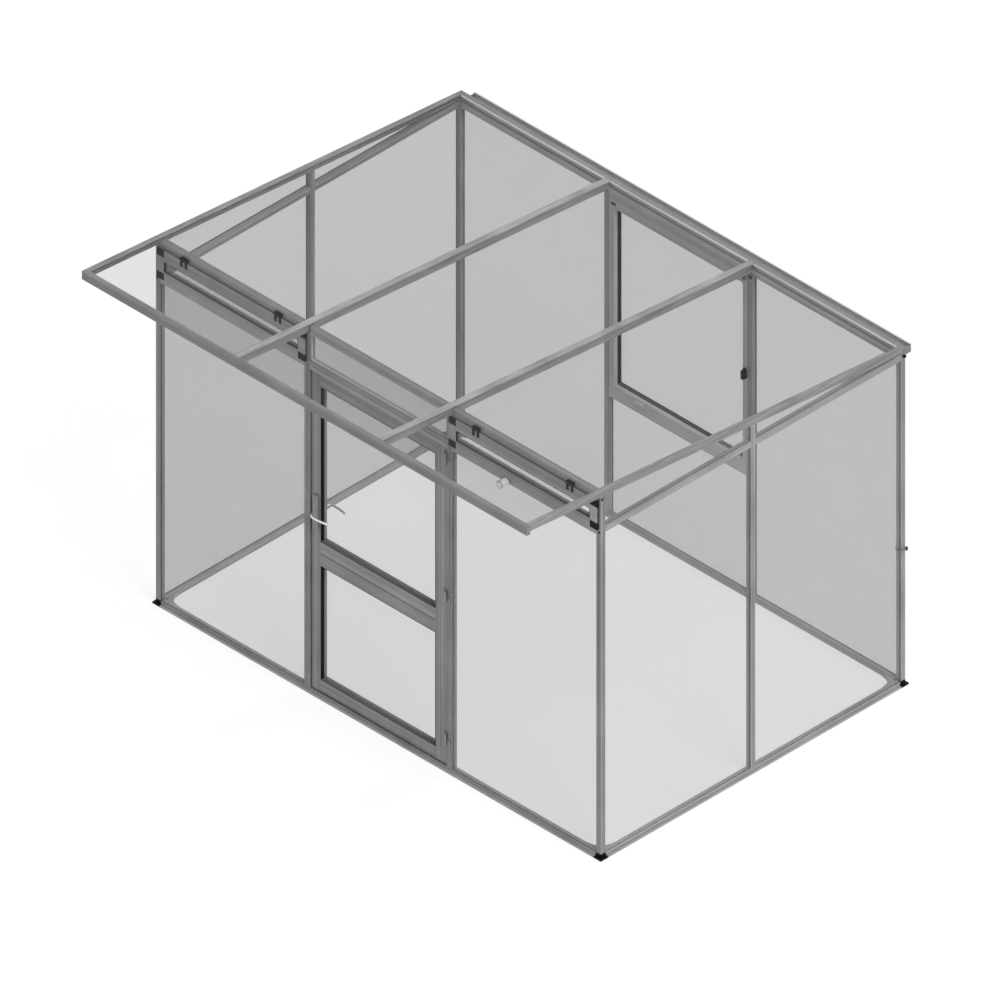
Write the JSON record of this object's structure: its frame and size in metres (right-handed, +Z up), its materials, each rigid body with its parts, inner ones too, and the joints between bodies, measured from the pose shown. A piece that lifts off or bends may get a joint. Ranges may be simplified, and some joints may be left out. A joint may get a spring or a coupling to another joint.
{
  "type": "glass greenhouse",
  "caption": "Free-standing glass greenhouse with slim metal glazing bars, single-pitch roof with a deep front overhang, hinged door with lever handle, top vents, back window and gutter.",
  "frame": {"origin": "on the ground under the middle of the whole box, roof overhang and gutter included", "axes": "+Z up, +X along the front to the right, +Y to the back; the door and the roof's high edge face -Y"},
  "size_m": [2.97, 2.572, 2.15],
  "materials": {
    "frame_metal": "matt anodised grey aluminium extrusion",
    "roof_metal": "matt anodised grey aluminium extrusion",
    "glass": "flat safety glass with a light grey tint",
    "gasket_rubber": "black extruded glazing rubber",
    "black_plastic": "black moulded plastic",
    "hinge_metal": "satin grey metal",
    "lever_metal": "polished round steel bar"
  },
  "bodies": {
    "frame": {"front_sill": "frame_metal", "back_sill": "frame_metal", "left_sill": "frame_metal", "right_sill": "frame_metal", "corner_feet": "black_plastic", "front_left_post": "frame_metal", "front_right_post": "frame_metal", "back_left_post": "frame_metal", "back_right_post": "frame_metal", "door_left_post": "frame_metal", "door_right_post": "frame_metal", "back_mid_posts": "frame_metal", "side_mid_posts": "frame_metal", "front_transom": "frame_metal", "front_top_rail": "frame_metal", "side_rails": "frame_metal", "back_top_rail": "frame_metal", "back_window_rail": "frame_metal", "edge_rafters": "roof_metal", "mid_rafters": "roof_metal", "roof_front_bar": "roof_metal", "roof_back_bar": "roof_metal", "gutter": "roof_metal", "roof_glass": "glass", "front_glass": "glass", "left_glass": "glass", "right_glass": "glass", "back_glass": "glass", "glazing_gaskets": "gasket_rubber", "vent_frames": "frame_metal", "vent_corners": "black_plastic", "vent_hinges": "black_plastic", "vent_glass": "glass", "window_frame": "frame_metal", "window_glass": "glass", "window_knob": "black_plastic", "door_hinge_pins": "hinge_metal"},
    "door": {"door_lock_stile": "frame_metal", "door_hinge_stile": "frame_metal", "door_rails": "frame_metal", "door_glass": "glass", "door_gaskets": "gasket_rubber", "door_hinge_knuckles": "hinge_metal", "door_handle_plates": "hinge_metal"},
    "lever": {"lever_handle": "lever_metal"}
  },
  "joints": [
    {"name": "door_swing", "type": "hinge", "parent": "frame", "child": "door", "pos_m": [0.4495, -0.804, 1], "axis": [0, 0, 1], "range_deg": [0, 110]},
    {"name": "lever_turn", "type": "hinge", "parent": "door", "child": "lever", "pos_m": [-0.41719, -0.768, 1.05], "axis": [0, 1, 0], "range_deg": [0, 40], "stiffness_Nm_per_rad": 1.2, "springref_deg": -28.65}
  ]
}
